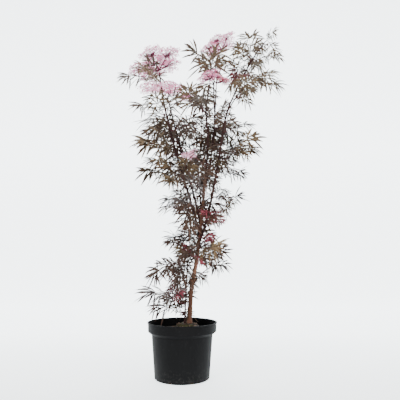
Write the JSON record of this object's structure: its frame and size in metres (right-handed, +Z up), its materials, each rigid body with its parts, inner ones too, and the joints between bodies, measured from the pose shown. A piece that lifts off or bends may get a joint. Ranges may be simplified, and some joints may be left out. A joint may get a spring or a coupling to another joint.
{
  "type": "potted black elder",
  "caption": "Black elder shrub with cut dark leaves and pink flat flower heads on arching stems, standing in a round black nursery pot.",
  "frame": {"origin": "centre of the pot's flat underside, on the ground", "axes": "+Z up along the pot's axis; -Y is the front that the picture shows; +X to its right"},
  "size_m": [0.7186, 0.4959, 1.47],
  "materials": {
    "bough_back": "dark purple-brown bark",
    "bough_left": "dark purple-brown bark",
    "bough_left_back": "dark purple-brown bark",
    "bough_middle": "dark purple-brown bark",
    "bough_middle_back": "dark purple-brown bark",
    "bough_right": "dark purple-brown bark",
    "bough_right_low": "dark purple-brown bark",
    "bough_top": "dark purple-brown bark",
    "flowers_front": "blossom on dark red rays",
    "flowers_left": "blossom on dark red rays",
    "flowers_middle": "blossom on dark red rays",
    "flowers_middle_back": "blossom on dark red rays",
    "flowers_pale": "blossom on dark red rays",
    "flowers_small": "blossom on dark red rays",
    "flowers_top": "blossom on dark red rays",
    "flowers_top_left": "blossom on dark red rays",
    "foliage_crown_far_right": "leaves",
    "foliage_crown_left": "leaves",
    "foliage_crown_middle": "leaves",
    "foliage_crown_middle_right": "leaves",
    "foliage_crown_right": "leaves",
    "foliage_low_back": "leaves",
    "foliage_low_front": "leaves",
    "foliage_low_left": "leaves",
    "foliage_low_left_back": "leaves",
    "foliage_low_middle": "leaves",
    "foliage_low_right": "leaves",
    "foliage_mid_back": "leaves",
    "foliage_mid_front": "leaves",
    "foliage_mid_left": "leaves",
    "foliage_mid_left_back": "leaves",
    "foliage_mid_right": "leaves",
    "foliage_mid_right_back": "leaves",
    "foliage_right_far": "leaves",
    "foliage_right_hanging": "leaves",
    "foliage_right_high": "leaves",
    "foliage_right_inner": "leaves",
    "foliage_right_tip": "leaves",
    "foliage_rim_back": "leaves",
    "foliage_shoulder_back": "leaves",
    "foliage_shoulder_front": "leaves",
    "foliage_shoulder_left": "leaves",
    "foliage_shoulder_left_back": "leaves",
    "foliage_shoulder_left_high": "leaves",
    "foliage_tip_left": "leaves",
    "foliage_top_middle": "leaves",
    "foliage_upper_back": "leaves",
    "foliage_upper_far_right": "leaves",
    "foliage_upper_front": "leaves",
    "foliage_upper_left": "leaves",
    "foliage_upper_left_back": "leaves",
    "foliage_upper_middle": "leaves",
    "foliage_upper_right": "leaves",
    "foliage_upper_right_back": "leaves",
    "foliage_waist_back": "leaves",
    "foliage_waist_left": "leaves",
    "pot": "matte black nursery plastic",
    "side_stem": "dark purple-brown bark",
    "soil": "damp bark and peat soil",
    "trunk": "brown bark"
  },
  "bodies": {
    "root": {"bough_back": "bough_back", "bough_left": "bough_left", "bough_left_back": "bough_left_back", "bough_middle": "bough_middle", "bough_middle_back": "bough_middle_back", "bough_right": "bough_right", "bough_right_low": "bough_right_low", "bough_top": "bough_top", "flowers_front": "flowers_front", "flowers_left": "flowers_left", "flowers_middle": "flowers_middle", "flowers_middle_back": "flowers_middle_back", "flowers_pale": "flowers_pale", "flowers_small": "flowers_small", "flowers_top": "flowers_top", "flowers_top_left": "flowers_top_left", "foliage_crown_far_right": "foliage_crown_far_right", "foliage_crown_left": "foliage_crown_left", "foliage_crown_middle": "foliage_crown_middle", "foliage_crown_middle_right": "foliage_crown_middle_right", "foliage_crown_right": "foliage_crown_right", "foliage_low_back": "foliage_low_back", "foliage_low_front": "foliage_low_front", "foliage_low_left": "foliage_low_left", "foliage_low_left_back": "foliage_low_left_back", "foliage_low_middle": "foliage_low_middle", "foliage_low_right": "foliage_low_right", "foliage_mid_back": "foliage_mid_back", "foliage_mid_front": "foliage_mid_front", "foliage_mid_left": "foliage_mid_left", "foliage_mid_left_back": "foliage_mid_left_back", "foliage_mid_right": "foliage_mid_right", "foliage_mid_right_back": "foliage_mid_right_back", "foliage_right_far": "foliage_right_far", "foliage_right_hanging": "foliage_right_hanging", "foliage_right_high": "foliage_right_high", "foliage_right_inner": "foliage_right_inner", "foliage_right_tip": "foliage_right_tip", "foliage_rim_back": "foliage_rim_back", "foliage_shoulder_back": "foliage_shoulder_back", "foliage_shoulder_front": "foliage_shoulder_front", "foliage_shoulder_left": "foliage_shoulder_left", "foliage_shoulder_left_back": "foliage_shoulder_left_back", "foliage_shoulder_left_high": "foliage_shoulder_left_high", "foliage_tip_left": "foliage_tip_left", "foliage_top_middle": "foliage_top_middle", "foliage_upper_back": "foliage_upper_back", "foliage_upper_far_right": "foliage_upper_far_right", "foliage_upper_front": "foliage_upper_front", "foliage_upper_left": "foliage_upper_left", "foliage_upper_left_back": "foliage_upper_left_back", "foliage_upper_middle": "foliage_upper_middle", "foliage_upper_right": "foliage_upper_right", "foliage_upper_right_back": "foliage_upper_right_back", "foliage_waist_back": "foliage_waist_back", "foliage_waist_left": "foliage_waist_left", "pot": "pot", "side_stem": "side_stem", "soil": "soil", "trunk": "trunk"}
  },
  "joints": []
}
